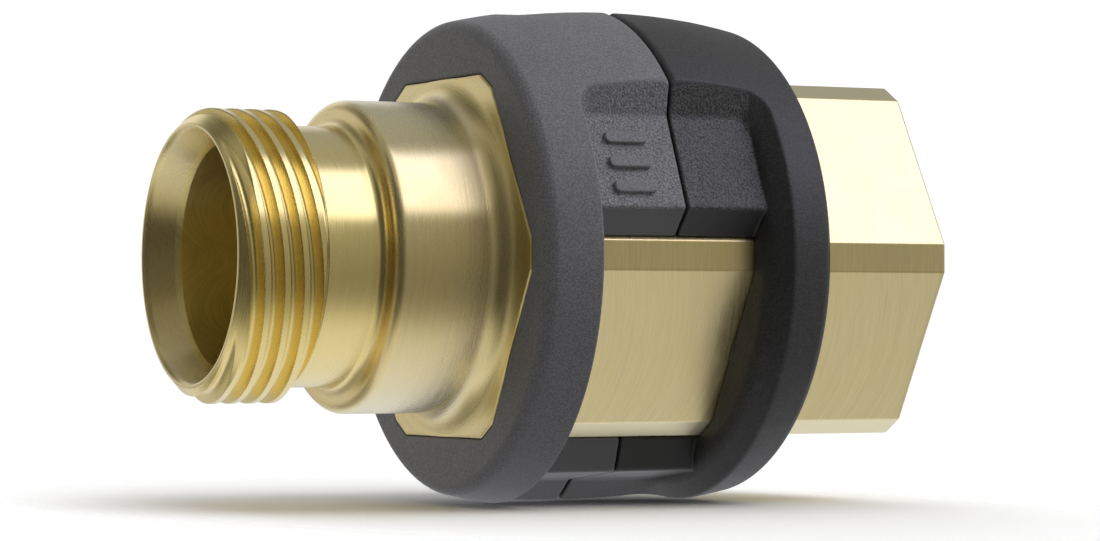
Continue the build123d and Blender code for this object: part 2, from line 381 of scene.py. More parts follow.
def brass(name, rough, aniso, line_scale, line_depth, streak, tint=BRASS, cloud=0.03,
          painted_sheen_strength=1.0):
    """Machined brass: cutter lines run round the part and spread the reflection across them."""
    mat, net = material(name)
    coords = net.turned_coords()
    geometry = net.new("ShaderNodeNewGeometry")
    fine = net.cutter_noise(coords, line_scale, around=1.1, detail=3.0, rough=0.6)
    broad = net.cutter_noise(coords, line_scale * 0.22, around=0.5, detail=2.0, rough=0.5)
    short = net.cutter_noise(coords, line_scale * 1.7, around=6.0, detail=2.0, rough=0.5)
    clouds = net.noise(net.object_position(), scale=180.0, detail=3.0, rough=0.55)
    lines = net.add(net.mul(fine, 0.55), net.mul(short, 0.45))

    tone = net.add(net.remap(lines, to=(1.0 - streak, 1.0 + streak * 0.5)),
                   net.remap(clouds, span=(0.35, 0.65), to=(-cloud, cloud)))
    tone = net.mul(tone, net.remap(broad, span=(0.35, 0.65), to=(0.985, 1.015)))
    warm_tint = tuple(value * factor for value, factor in zip(tint, BRASS_WARMTH))
    colour = net.shade(net.mix(net.remap(clouds), tint, warm_tint), tone)

    # painted sheen: the colour turns paler at grazing angles, standing in for the whiter
    # reflection there, except on faces that look along the axis
    facing = net.new("ShaderNodeLayerWeight")
    facing.inputs["Blend"].default_value = 0.5
    axial = net.math("ABSOLUTE", net.split(geometry.outputs["Normal"])[0])
    painted_sheen = net.mul(net.remap(facing.outputs["Facing"], span=(0.10, 0.66), to=(0.0, painted_sheen_strength)),
                   net.remap(axial, span=(0.25, 0.9), to=(1.0, 0.0)))
    colour = net.mix(painted_sheen, colour, PAINTED_SHEEN_COLOUR)

    uneven = net.add(net.remap(lines, to=(-0.05, 0.06)),
                     net.remap(clouds, span=(0.35, 0.65), to=(-0.02, 0.03)))
    height = net.add(net.mul(lines, 1.0), net.mul(broad, 0.8))
    net.principled(Base_Color=colour, Metallic=1.0, Roughness=net.add(rough, uneven),
                   Normal=net.bump(height, line_depth), Anisotropic=aniso,
                   Tangent=net.profile_tangent(geometry))
    return mat


def plastic(name, base, edge, rough, pad_grain, fleck, pad_tone, grain=0.45):
    """Textured plastic: fine on the barrel, coarser and sharper on the pads."""
    mat, net = material(name)
    position = net.object_position()
    pad, plain = net.attr("pad"), net.attr("plain")
    fine = net.noise(position, scale=7200.0, detail=2.0, rough=0.6)
    pits = net.voronoi(position, scale=6400.0, feature="SMOOTH_F1", smooth=0.5)
    coarse = net.noise(position, scale=5200.0, detail=2.0, rough=0.6)
    cells = net.voronoi(position, scale=4600.0)
    mottle = net.noise(position, scale=260.0, detail=3.0, rough=0.6)
    barrel_height = net.add(net.mul(fine, 0.7), net.mul(pits, 0.6))
    pad_height = net.add(net.mul(coarse, 0.9), net.mul(cells, 0.9))
    by_pad = net.new("ShaderNodeMix", data_type="FLOAT")
    net.put(by_pad.inputs[0], pad)
    net.put(by_pad.inputs[2], net.mul(barrel_height, grain))
    net.put(by_pad.inputs[3], net.mul(pad_height, pad_grain))
    height = net.mul(by_pad.outputs[0], net.remap(plain, span=(0.0, 1.0), to=(1.0, 0.22)))

    # light and dark flecks follow the grain; the mottling is slower
    sparkle = net.noise(position, scale=7200.0, detail=1.0, rough=0.5)
    amount = net.mul(net.remap(pad, span=(0.0, 1.0), to=(fleck * 0.5, fleck)),
                     net.remap(plain, span=(0.0, 1.0), to=(1.0, 0.2)))
    grit = net.mul(net.remap(sparkle, span=(0.34, 0.66), to=(-1.0, 1.0)), amount)
    tone = net.mul(net.remap(mottle, to=(0.94, 1.06)), net.add(1.0, grit),
                   net.remap(plain, span=(0.0, 1.0), to=(1.0, 0.66)),
                   net.remap(pad, span=(0.0, 1.0), to=(1.0, pad_tone)))
    colour = net.shade(base, tone)

    # paler where edges stand out
    geometry = net.new("ShaderNodeNewGeometry")
    worn = net.remap(geometry.outputs["Pointiness"], span=(0.515, 0.56), to=(0.0, 0.55))
    patchy = net.remap(mottle, span=(0.35, 0.6), to=(0.4, 1.0))
    colour = net.mix(net.mul(worn, patchy), colour, edge)
    uneven = net.add(net.remap(mottle, to=(-0.03, 0.04)), net.mul(plain, -0.06))
    net.principled(Base_Color=colour, Roughness=net.add(rough, uneven),
                   Normal=net.bump(height, distance=0.00005), Specular_IOR_Level=0.5)
    return mat


def steel():
    mat, net = material("nipple_steel")
    coords = net.turned_coords()
    lines = net.cutter_noise(coords, per_mm=14.0, around=1.0, detail=3.0, rough=0.6)
    clouds = net.noise(net.object_position(), scale=300.0, detail=2.0, rough=0.5)
    tone = net.add(net.remap(lines, to=(0.90, 1.02)), net.remap(clouds, to=(-0.03, 0.03)))
    geometry = net.new("ShaderNodeNewGeometry")
    net.principled(Base_Color=net.shade((0.60, 0.60, 0.59), tone), Metallic=1.0,
                   Roughness=net.remap(lines, to=(0.22, 0.34)),
                   Normal=net.bump(lines, distance=0.000008), Anisotropic=0.6,
                   Tangent=net.profile_tangent(geometry))
    return mat


def seal_material(name, colour, fine_scale, slow_scale, tones, roughness, depth, **extra):
    """Matt seal stock: fine noise for its surface, slow noise for its colour."""
    mat, net = material(name)
    position = net.object_position()
    fine = net.noise(position, fine_scale, detail=3.0, rough=0.6)
    slow = net.noise(position, slow_scale, detail=2.0, rough=0.5)
    net.principled(Base_Color=net.shade(colour, net.remap(slow, to=tones)),
                   Roughness=net.remap(fine, to=roughness), Normal=net.bump(fine, depth),
                   **extra)
    return mat


# material zones of the body, in slot order
TURNED, MILLED, BORE, THREAD, SOCKET, FACET = range(6)
turned = brass("brass_turned", rough=0.28, aniso=0.80, line_scale=9.0, line_depth=0.000009,
               streak=0.18)
milled = brass("brass_milled", rough=0.30, aniso=0.55, line_scale=5.5, line_depth=0.000007,
               streak=0.18)
facet = brass("brass_facet", rough=0.36, aniso=0.3, line_scale=5.5, line_depth=0.000007,
              streak=0.14)
bore = brass("brass_bore", tint=(1.0, 0.86, 0.38), rough=0.36, aniso=0.6, line_scale=4.5,
             line_depth=0.000012, cloud=0.05, streak=0.20, painted_sheen_strength=0.0)
thread = brass("brass_thread", tint=(0.90, 0.74, 0.31), rough=0.24, aniso=0.5,
               line_scale=9.0, line_depth=0.000006, streak=0.08, painted_sheen_strength=0.45)
socket = brass("brass_socket", tint=(0.88, 0.72, 0.31), rough=0.27, aniso=0.5,
               line_scale=7.0, line_depth=0.000008, streak=0.10, painted_sheen_strength=0.3)
BODY_MATERIALS = [turned, milled, bore, thread, socket, facet]
grey_plastic = plastic("plastic_grey", base=(0.258, 0.256, 0.270), edge=(0.30, 0.30, 0.31),
                       rough=0.55, pad_grain=0.85, fleck=0.44, pad_tone=1.0)
black_plastic = plastic("plastic_black", base=(0.054, 0.053, 0.053),
                        edge=(0.10, 0.10, 0.101), rough=0.50, pad_grain=0.90, fleck=0.72,
                        pad_tone=1.75)
nipple_steel = steel()
seal_rubber = seal_material("seal_rubber", colour=(0.016, 0.016, 0.017), fine_scale=2600.0,
                            slow_scale=400.0, tones=(0.8, 1.25), roughness=(0.34, 0.5),
                            depth=0.000012, Specular_IOR_Level=0.5)
backup_plastic = seal_material("backup_plastic", colour=(0.62, 0.60, 0.55),
                               fine_scale=1800.0, slow_scale=300.0, tones=(0.92, 1.06),
                               roughness=(0.38, 0.5), depth=0.000006,
                               Subsurface_Weight=0.1, Subsurface_Scale=0.0005)

# =========================================================================
# brass body: rings of (x, radius, zone, normals), from the mouth rim along the outside to the
# rear face and back through the socket and the bore
# =========================================================================
# male thread: four starts, right hand
MALE_LEAD = 6.0
MALE_PITCH = MALE_LEAD / 4
CREST_W, CREST_R, ROOT_R = 0.46, 10.85, 9.92
X_MALE = X_MOUTH + 1.49                # a crest's middle at angle 0
MALE_X = np.arange(X_MOUTH + 0.05, X_MOUTH + 7.25, 0.035)
RIM_R, RIM_EDGE = 9.50, 0.05
NECK_R, NECK_FILLET = 9.7, 0.7
X_COLLAR, COLLAR_R, COLLAR_EDGE = X_MOUTH + 11.5, 11.7, 0.8
HEX_FILLET, HEX_REAR_EDGE = 1.75, 0.22
REAR_FACE_IN_R = 11.75
# socket thread: single start, right hand
FEMALE_PITCH, MINOR_R, MAJOR_R = 1.5, 10.19, 11.03
RELIEF_R = 11.2
X_FEMALE = X_REAR - 9.4
FEMALE_X = np.arange(X_REAR - 0.42, X_REAR - 10.30, -(0.07))
X_SOCKET_FLOOR, X_PRESS_FLOOR, PRESS_R = 11.5, 2.5, 6.0    # floors of socket and press hole
MOUTH_BORE_R, X_MOUTH_FLOOR = 8.25, X_MOUTH + 21.5


def male_radius(x, turn):
    offset = np.mod(x - X_MALE + MALE_LEAD * turn - CREST_W / 2, MALE_PITCH) - MALE_PITCH / 2
    # 0 in the middle of the groove, 1 at the edge of the crest's land
    across = np.abs(offset) / ((MALE_PITCH - CREST_W) / 2)
    # rounded groove with nearly straight flanks
    rise = 0.55 * across ** 2.4 + 0.45 * across ** 4.5
    radius = smin(ROOT_R + (CREST_R - ROOT_R) * rise, CREST_R, 0.07)
    lead_in = 9.70 + (x - X_MOUTH) * 1.045
    run_out = CREST_R - (x - (X_MOUTH + 6.35)) * 1.77
    radius = smin(smin(radius, lead_in, 0.08), run_out, 0.10)
    return smax(radius, NECK_R, 0.10)


def female_radius(x, turn):
    phase = np.mod(x - X_FEMALE + FEMALE_PITCH * turn, FEMALE_PITCH) / FEMALE_PITCH
    groove = 1 - np.clip((np.abs(phase - 0.5) - 0.045) / 0.32, 0, 1)
    groove = groove * groove * (3 - 2 * groove) * 0.25 + groove * 0.75
    lead_in = MINOR_R + (x - (X_REAR - 1.55)) * 1.0
    run_out = RELIEF_R - (x - (X_REAR - 10.35)) * 1.05
    radius = smax(MINOR_R + (MAJOR_R - MINOR_R) * groove, lead_in, 0.06)
    return np.minimum(smax(radius, min(run_out, RELIEF_R), 0.08), 11.44)


def plain_rings(points, zone):
    return [(x, radius, zone, None) for x, radius in points]


def thread_rings(radius_at, stations, zone, angle, side):
    """Rings of a thread with its true normals; side is 1 for outside and -1 for inside."""
    turn = angle / (2 * math.pi)
    turn = np.where(turn > 0.5, turn - 1.0, turn)
    outward = np.stack([np.zeros(len(angle)), -np.cos(angle), np.sin(angle)], 1)
    around = np.stack([np.zeros(len(angle)), np.sin(angle), np.cos(angle)], 1)
    step_x, step_turn = 0.004, 2e-4
    rings = []
    for x in stations:
        slope_x = (radius_at(x + step_x, turn) - radius_at(x - step_x, turn)) / (2 * step_x)
        slope_angle = ((radius_at(x, turn + step_turn) - radius_at(x, turn - step_turn))
                       / (2 * step_turn * 2 * math.pi))
        radius = radius_at(x, turn)
        normals = outward + (-slope_angle / radius)[:, None] * around
        normals[:, 0] = -slope_x
        normals /= np.linalg.norm(normals, axis=1)[:, None]
        rings.append((x, radius, zone, side * normals))
    return rings


def mouth_rings():
    """The narrow land on the mouth's rim, and the start of the cone outside it."""
    rim = arc(X_MOUTH + RIM_EDGE, RIM_R, RIM_EDGE, (-90, -120, -150, -180))
    return plain_rings(rim + [(X_MOUTH, 9.60), (X_MOUTH + 0.015, 9.66)], TURNED)


def collar_rings():
    """Neck, collar, and the fillet up to the hexagon's front face."""
    line = [(MALE_X[-1] + 0.2, NECK_R), (X_COLLAR - 0.72, NECK_R)]
    line += arc(X_COLLAR - NECK_FILLET, NECK_R + NECK_FILLET, NECK_FILLET,
                np.linspace(-90, 0, 9)[1:])
    line += arc(X_COLLAR + COLLAR_EDGE, COLLAR_R - COLLAR_EDGE, COLLAR_EDGE,
                np.linspace(180, 90, 12))
    line += arc(X_HEX - HEX_FILLET, COLLAR_R + HEX_FILLET, HEX_FILLET,
                np.linspace(-90, 0, 18))
    # painted reflection: the neck and its fillet up to the collar are the same brass, but take
    # the thread's more golden material in place of reflections of the golden thread and collar
    # beside them
    return [(x, radius, THREAD if x < X_COLLAR - 0.3 else TURNED, None)
            for x, radius in subdivide_profile(np.array(line), 0.35)]


def hexagon_rings(hex_r):
    """Front face, its broken edge, the sides, the rounded rear edge and the rear face."""
    inner = COLLAR_R + HEX_FILLET
    bevel = np.minimum(0.16, (hex_r - inner) * 0.45 + 0.012)
    rear_r = hex_r - HEX_REAR_EDGE
    face = [(X_HEX, inner + (hex_r - bevel - inner) * t) for t in (0.15, 0.4, 0.7, 1.0)]
    side = arc(X_HEX + bevel, hex_r - bevel, bevel, (158, 135, 112, 90))
    side += [(x, hex_r) for x in np.linspace(X_HEX + 0.5, X_REAR - 0.5, 60)]
    rounding = arc(X_REAR - HEX_REAR_EDGE, rear_r, HEX_REAR_EDGE, (90, 60, 30, 0))
    side += rounding[:-1]
    rear = rounding[-1:] + [(X_REAR, rear_r + (REAR_FACE_IN_R - rear_r) * t)
                            for t in (0.25, 0.5, 0.75, 1.0)]
    rear += [(X_REAR - 0.04, 11.66), (X_REAR - 0.12, 11.56), (X_REAR - 0.25, 11.44)]
    return plain_rings(face, TURNED) + plain_rings(side, MILLED) + plain_rings(rear, TURNED)


def bore_rings():
    """Relief, socket floor, press hole, flow bore, mouth bore and the cone at the mouth."""
    cone_depth = (MOUTH_BORE_R - BORE_R) * 0.577
    profile = rounded_profile([       # x, r, corner radius
        (X_REAR - 10.36, RELIEF_R, 0), (X_SOCKET_FLOOR, RELIEF_R, 0.4),
        (X_SOCKET_FLOOR, PRESS_R, 0.12), (X_PRESS_FLOOR, PRESS_R, 0.1),
        (X_PRESS_FLOOR, BORE_R, 0.1), (X_MOUTH_FLOOR + cone_depth, BORE_R, 0.4),
        (X_MOUTH_FLOOR, MOUTH_BORE_R, 0.3), (X_MOUTH + 2.64, MOUTH_BORE_R, 0.12),
        (X_MOUTH + 0.055, 9.433, 0)], steps=5)
    return [(x, radius, TURNED if x < X_MOUTH + 2.60 else BORE, None)
            for x, radius in subdivide_profile(profile, 0.5)]


def body_angles(corner_half):
    """Column angles in degrees: even, and denser about the edges of the turned corners."""
    count = 480
    degrees = list(np.arange(count) * 360.0 / count)
    for k, sign, offset in itertools.product(
            range(6), (-1, 1), (-0.7, -0.45, -0.2, 0.0, 0.2, 0.45, 0.7)):
        degrees.append((60 * k + sign * (corner_half + offset)) % 360.0)
    return np.unique(np.round(np.array(degrees), 3))


def polygon_radius(angle, apothem, first_deg):
    """Radius of a regular hexagon whose first flat faces first_deg."""
    radii = []
    for k in range(6):
        cosine = np.cos(angle - math.radians(60 * k + first_deg))
        radii.append(np.where(cosine > 0.2, apothem / np.maximum(cosine, 0.2), 99))
    return np.min(radii, 0)


def brass_body():
    corner_half = math.degrees(math.atan(CORNER_HALF_W / CORNER_R))
    degrees = body_angles(corner_half)
    angle = np.radians(degrees)
    columns = len(angle)
    hex_r = smin(polygon_radius(angle, APOTHEM, 30), polygon_radius(angle, CORNER_R, 0), 0.05)
    rings = (mouth_rings() + thread_rings(male_radius, MALE_X, THREAD, angle, side=1)
             + collar_rings() + hexagon_rings(hex_r)
             + thread_rings(female_radius, FEMALE_X, SOCKET, angle, side=-1) + bore_rings())
    xs = np.array([np.broadcast_to(ring[0], (columns,)) for ring in rings], float)
    radii = np.array([np.broadcast_to(ring[1], (columns,)) for ring in rings], float)
    # a zero normal leaves the vertex with its own smooth one
    normals = [np.zeros((columns, 3)) if ring[3] is None else ring[3] for ring in rings]

    # the flats turned on the corners are a zone of their own
    zones = np.repeat(np.array([ring[2] for ring in rings])[:, None], columns, 1)
    on_corner = np.abs(np.mod(degrees + 30.0, 60.0) - 30.0) < corner_half - 0.05
    zones[(zones == MILLED) & (on_corner & np.roll(on_corner, -1))[None, :]] = FACET
    piece = grid_to_mesh("fitting_body", xs, radii, angle, zones, BODY_MATERIALS)
    piece.data.set_sharp_from_angle(angle=math.radians(38))
    piece.data.normals_split_custom_set_from_vertices(np.concatenate(normals).tolist())
    return piece


register(brass_body(), "fitting", "brass_body")


# =========================================================================
# nipple and its seals
# =========================================================================
def lathe(name, profile, mat):
    """Turns a closed (x, r) profile about the axis."""
    columns = 192
    angle = np.arange(columns) * 2 * math.pi / columns
    points = subdivide_profile(np.vstack([profile, profile[:1]]), 0.4)[:-1]
    xs = np.repeat(points[:, :1], columns, 1)
    radii = np.repeat(points[:, 1:2], columns, 1)
    piece = grid_to_mesh(name, xs, radii, angle, np.zeros(xs.shape, int), [mat])
    piece.data.set_sharp_from_angle(angle=math.radians(38))
    return piece


def nipple():
    fit = 0.02                          # clearance to the body's floors
    start, shoulder = X_PRESS_FLOOR + fit, X_SOCKET_FLOOR + fit
    shank_r, flange_r, head_r = 5.985, 8.6, 7.0
    x_flange, x_groove0, x_groove1, groove_r = 13.1, 13.7, 16.9, 5.48
    x_tip = float(nipple_hi[0])
    return lathe("seal_nipple", rounded_profile([      # x, r, corner radius
        (8.0, BORE_R, 0), (start, BORE_R, 0.1), (start, 5.72, 0.05), (3.0, shank_r, 0.05),
        (shoulder, shank_r, 0.02), (shoulder, 8.32, 0.02), (11.82, flange_r, 0.08),
        (x_flange, flange_r, 0.18), (x_flange, head_r, 0.08), (x_groove0, head_r, 0.10),
        (x_groove0, groove_r, 0.15), (x_groove1, groove_r, 0.15), (x_groove1, head_r, 0.10),
        (x_tip - 0.7, head_r, 0.25), (x_tip, 6.3, 0.2), (x_tip, 4.5, 0.12),
        (x_tip - 0.5, BORE_R, 0.15), (8.001, BORE_R, 0)], steps=5), nipple_steel)


def seal_ring():
    """A round section pressed slightly flat in its groove, with a fine line round its outside."""
    outer = float(ring_hi[2])
    radius = 0.995
    theta = np.linspace(0, 2 * math.pi, 41)[:-1]
    flattened = np.where(np.sin(theta) < -0.93, -0.93, np.sin(theta))
    section = np.c_[float(ring_lo[0] + ring_hi[0]) / 2 + radius * np.cos(theta),
                    outer - 1.0 + flattened * radius]
    section[:, 1] += 0.012 * np.exp(-((theta - math.pi / 2) / 0.05) ** 2)
    section[:, 1] = np.minimum(section[:, 1], outer)
    return lathe("seal_ring", section, seal_rubber)


def backup_washer():
    x_low, x_high = float(backup_lo[0]), float(backup_hi[0])
    outer, inner, edge = float(backup_hi[2]), 5.53, 0.12
    middle = (x_low + x_high) / 2
    profile = rounded_profile([
        (middle, inner, 0), (x_low, inner, edge), (x_low, outer, edge),
        (x_high, outer, edge), (x_high, inner, edge), (middle + 0.001, inner, 0)], steps=4)
    return lathe("backup_washer", profile[:-1], backup_plastic)


register(nipple(), "fitting", "sealing_nipple")
register(seal_ring(), "fitting", "o_ring")
register(backup_washer(), "fitting", "backup_ring")

# =========================================================================
# grip sleeve: each half is a signed distance field, negative inside, skinned on a fine grid
# =========================================================================
BARREL_R, BARREL_X = 19.2, 4.4         # greatest radius, and where it lies
ARC_FRONT, ARC_REAR = 50.6, 55.6       # radii of the barrel's profile before and after it
X_WALL, X_LEAD = 11.05, 12.5           # the windows' rear wall leans from here to here
LEAD_R0, LEAD_R1 = 16.9, 18.62         # between these radii
HEX_CLEAR = 0.05
PIN_ANGLES, PIN_CIRCLE_R = (52.0, 68.0, 232.0, 248.0), 16.9
PEG_R, PEG_HOLE_R = 1.0, 1.05
RIB_X, RIB_ALONG = 0.40, 3.54          # middle rib's centre: x, and distance across the pad
RIB_L, RIB_W, RIB_H, RIB_STEP = 3.5, 0.95, 0.36, 2.0

# Two windows lie opposite each other. Their section is symmetric about a centre line, and
# these points on it are (radius, degrees from the centre line).
WINDOW = math.radians(-30.0)
LIP_INNER = (14.92, 34.95)
LIP_OUTER = (17.04, 41.7)              # where the lip meets the pad
PAD_FAR = (17.14, 66.9)
RIDGE = (BARREL_R, 72.6)


def polar(radius, deg):
    return np.array((radius * math.cos(math.radians(deg)),
                     radius * math.sin(math.radians(deg))))


def half_plane(start, stop, inside):
    """Line as (normal, offset); normal.point - offset is negative on the side of inside."""
    start, stop, inside = polar(*start), polar(*stop), polar(*inside)
    along = (stop - start) / np.linalg.norm(stop - start)
    normal = np.array((-along[1], along[0]))
    offset = normal @ start
    if normal @ inside - offset > 0:
        normal, offset = -normal, -offset
    return normal, offset


LIP_LINE = half_plane(LIP_INNER, LIP_OUTER, inside=(26.0, 20.0))
PAD_LINE = half_plane(LIP_OUTER, PAD_FAR, inside=(22.0, 55.0))
END_LINE = half_plane(PAD_FAR, RIDGE, inside=(26.0, 20.0))


def window_axes(y, z):
    """Position along and across the windows' centre line."""
    return (-y * math.cos(WINDOW) + z * math.sin(WINDOW),
            y * math.sin(WINDOW) + z * math.cos(WINDOW))


def window_sd(y, z):
    """Distances to the windows' section: opening, pad, far end and lip."""
    along, across = [np.abs(value) for value in window_axes(y, z)]
    lip, pad, end = [normal[0] * along + normal[1] * across - offset
                     for normal, offset in (LIP_LINE, PAD_LINE, END_LINE)]
    return rmin(lip, pad, 0.16), pad, end, lip


def hex_sd(y, z):
    """The hexagon's section with its cut corners, grown by the clearance."""
    sides = []
    for k, (first_deg, apothem) in itertools.product(range(6), ((30, APOTHEM), (0, CORNER_R))):
        angle = math.radians(60 * k + first_deg)
        sides.append(-y * math.cos(angle) + z * math.sin(angle) - (apothem + HEX_CLEAR))
    return np.maximum.reduce(sides)


def barrel_sd(x, radius):
    bulge = np.where(x > BARREL_X, ARC_REAR, ARC_FRONT)
    return np.hypot(x - BARREL_X, radius - (BARREL_R - bulge)) - bulge


def pin_sd(y, z, deg, radius):
    """A cylinder along X on the pegs' circle."""
    angle = math.radians(deg)
    return np.hypot(y + PIN_CIRCLE_R * math.cos(angle),
                    z - PIN_CIRCLE_R * math.sin(angle)) - radius


def pad_frame(half_turn):
    """Start, across and normal, in (Y, Z), of the pad on a window's rising-angle side."""
    centre = math.degrees(WINDOW) + half_turn
    flip = np.array((-1.0, 1.0))        # angles start from -Y
    start = polar(LIP_OUTER[0], centre + LIP_OUTER[1]) * flip
    stop = polar(PAD_FAR[0], centre + PAD_FAR[1]) * flip
    across = (stop - start) / np.linalg.norm(stop - start)
    normal = np.array((-across[1], across[0]))
    return start, across, normal if normal @ start >= 0 else -normal


PAD_FRAMES = [pad_frame(0), pad_frame(180)]


def ribs_sd(x, y, z):
    """Three round-ended ribs on the pad of each window."""
    ribs = []
    for start, across, normal in PAD_FRAMES:
        reach = (y - start[0]) * across[0] + (z - start[1]) * across[1]
        height = (y - start[0]) * normal[0] + (z - start[1]) * normal[1]
        for k in (-1, 0, 1):
            past_end = np.maximum(np.abs(x - RIB_X) - (RIB_L / 2 - RIB_W / 2), 0)
            outline = np.hypot(past_end, reach - (RIB_ALONG + k * RIB_STEP)) - RIB_W / 2
            ribs.append(np.maximum(rmax(outline, height - RIB_H, 0.10), -height - 0.6))
    return np.minimum.reduce(ribs)


def hollow(solid, cut, y, z):
    """Takes the windows and the hexagon out of the barrel."""
    return rmax(rmax(solid, -cut, 0.15), -hex_sd(y, z), 0.22)


def front_sd(x, y, z):
    radius = np.hypot(y, z)
    solid = rmax(barrel_sd(x, radius), X_FRONT - x, 0.85)
    solid = rmax(solid, x - X_SEAM_F, SEAM_EDGE)
    opening, _, end, _ = window_sd(y, z)
    wall = (X_FRONT + 4.08) - x + (18.6 - radius) * 0.04
    solid = hollow(solid, rmax(opening, rmax(end, wall, 1.3), 0.10), y, z)
    for deg in PIN_ANGLES:
        hole = rmax(pin_sd(y, z, deg, PEG_HOLE_R), (X_SEAM_F - 3.4) - x, 0.15)
        solid = rmax(solid, -hole, 0.12)
    return smin(solid, ribs_sd(x, y, z), 0.06)


def rear_sd(x, y, z):
    radius = np.hypot(y, z)
    solid = rmax(barrel_sd(x, radius), x - X_END, 0.96)
    solid = rmax(solid, X_SEAM_R - x, SEAM_EDGE)
    opening, _, end, _ = window_sd(y, z)
    lean = (X_LEAD - X_WALL) / (LEAD_R1 - LEAD_R0)
    slope = (x - X_WALL - (radius - LEAD_R0) * lean) / math.hypot(1, lean)
    wall = rmin(x - X_WALL, slope, 0.5)
    solid = hollow(solid, rmax(opening, rmax(end, wall, 1.4), 0.12), y, z)
    for deg in PIN_ANGLES:
        peg = rmax(pin_sd(y, z, deg, PEG_R), x - (X_SEAM_R + 0.6), 0.05)
        solid = smin(solid, rmax(peg, (X_SEAM_R - 3.0) - x, 0.35), 0.06)
    return solid


def gradient(field, points, step=0.01):
    slopes = np.empty_like(points)
    for k in range(3):
        shift = np.zeros(3)
        shift[k] = step
        slopes[:, k] = (field(*(points + shift).T) - field(*(points - shift).T)) / (2 * step)
    return slopes


def edge_crossing_means(values, cells):
    """Mean place, within each cell, of the surface's crossings of the cell's edges."""
    total, count = np.zeros((len(cells), 3)), np.zeros(len(cells))
    corners = [np.array(corner) for corner in itertools.product((0, 1), repeat=3)]
    for near, far in itertools.combinations(corners, 2):
        if np.abs(near - far).sum() != 1:
            continue
        near_value = values[tuple((cells + near).T)]
        far_value = values[tuple((cells + far).T)]
        crosses = (near_value < 0) != (far_value < 0)
        drop = np.where(near_value == far_value, 1, near_value - far_value)
        share = np.where(crosses, near_value / drop, 0)
        total += np.where(crosses[:, None], near + (far - near) * share[:, None], 0)
        count += crosses
    return total / count[:, None]


def grid_quads(inside, index):
    """One quad round each grid edge that the surface crosses."""
    faces = []
    unit = np.eye(3, dtype=int)
    for axis in range(3):
        low, high = [slice(None)] * 3, [slice(None)] * 3
        low[axis], high[axis] = slice(0, -1), slice(1, None)
        starts_inside = inside[tuple(low)]
        edges = np.argwhere(starts_inside != inside[tuple(high)])
        side_a, side_b = (axis + 1) % 3, (axis + 2) % 3
        edges = edges[(edges[:, side_a] > 0) & (edges[:, side_b] > 0)]
        corners = [edges - unit[side_a] * i - unit[side_b] * j
                   for i, j in ((1, 1), (0, 1), (0, 0), (1, 0))]
        quad = np.stack([index[tuple(corner.T)] for corner in corners], 1)
        flip = ~starts_inside[tuple(edges.T)]
        quad[flip] = quad[flip][:, ::-1]
        faces.append(quad)
    faces = np.vstack(faces)
    return faces[(faces >= 0).all(1)]


def skin(field, lo, hi, step):
    """Surface nets on a regular grid, each vertex then pulled onto the true surface."""
    counts = [int(math.ceil((b - a) / step)) + 1 for a, b in zip(lo, hi)]
    grid_x, grid_y, grid_z = [a + step * np.arange(count) for a, count in zip(lo, counts)]
    values = np.empty(counts, np.float32)
    y, z = np.meshgrid(grid_y, grid_z, indexing="ij")
    for i, x in enumerate(grid_x):
        values[i] = field(np.full_like(y, x), y, z)
    inside = values < 0
    filled = sum(
        inside[tuple(slice(k, count - 1 + k) for k, count in zip(corner, counts))]
        .astype(np.int8) for corner in itertools.product((0, 1), repeat=3))
    active = (filled > 0) & (filled < 8)
    cells = np.argwhere(active)
    index = np.full(active.shape, -1, np.int32)
    index[active] = np.arange(len(cells))

    points = (cells + edge_crossing_means(values, cells)) * step + lo
    middles = (cells + 0.5) * step + lo
    for _ in range(3):
        slopes = gradient(field, points)
        steepness = np.maximum((slopes * slopes).sum(1), 0.05)
        move = -(field(*points.T) / steepness)[:, None] * slopes
        length = np.maximum(np.linalg.norm(move, axis=1), 1e-9)
        move *= np.minimum(1, 0.5 * step / length)[:, None]
        points = points + move
        points = middles + np.clip(points - middles, -0.62 * step, 0.62 * step)
    normals = gradient(field, points)
    normals /= np.maximum(np.linalg.norm(normals, axis=1), 1e-9)[:, None]
    return points, grid_quads(inside, index), normals


def surface_masks(points):
    """Where the textured pads are, and which faces in the windows are plain."""
    x, y, z = points.T
    _, pad, end, lip = window_sd(y, z)
    along, across = window_axes(y, z)
    in_window = (x > X_FRONT + 3.9) & (x < X_WALL + 0.1)
    deep = np.clip((-barrel_sd(x, np.hypot(y, z)) - 0.10) / 0.2, 0, 1) * in_window
    on_pad = np.clip(1.6 - np.minimum(np.abs(pad), np.abs(end)) / 0.25, 0, 1) * deep
    on_lip = np.clip(1.6 - np.abs(lip) / 0.2, 0, 1) * (np.abs(pad) > 0.15) * in_window
    # the pad on each window's falling-angle side is plain
    plain_side = np.where(across * np.sign(along) < 0, 1.0, 0.0)
    return {"pad": on_pad, "plain": np.maximum(plain_side * on_pad, on_lip)}


def shell(name, field, lo, hi, mat):
    margin = 0.4
    points, faces, normals = skin(field, lo - margin, hi + margin, 0.15)
    # wind the faces to agree with the field's own direction
    a, b, c = [points[faces[:, k]] for k in range(3)]
    if np.einsum("ij,ij->i", np.cross(b - a, c - a), normals[faces[:, 0]]).mean() < 0:
        faces = faces[:, ::-1]
    return new_object(name, points, faces, [mat], normals=normals,
                      attributes=surface_masks(points))


register(shell("sleeve_front", front_sd, front_lo, front_hi, grey_plastic),
         "front_grip", "front_shell")
register(shell("sleeve_rear", rear_sd, rear_lo, rear_hi, black_plastic),
         "rear_grip", "rear_shell")

# =========================================================================
# studio, in metres: -Y is in front, towards the camera
# =========================================================================
scene = bpy.context.scene


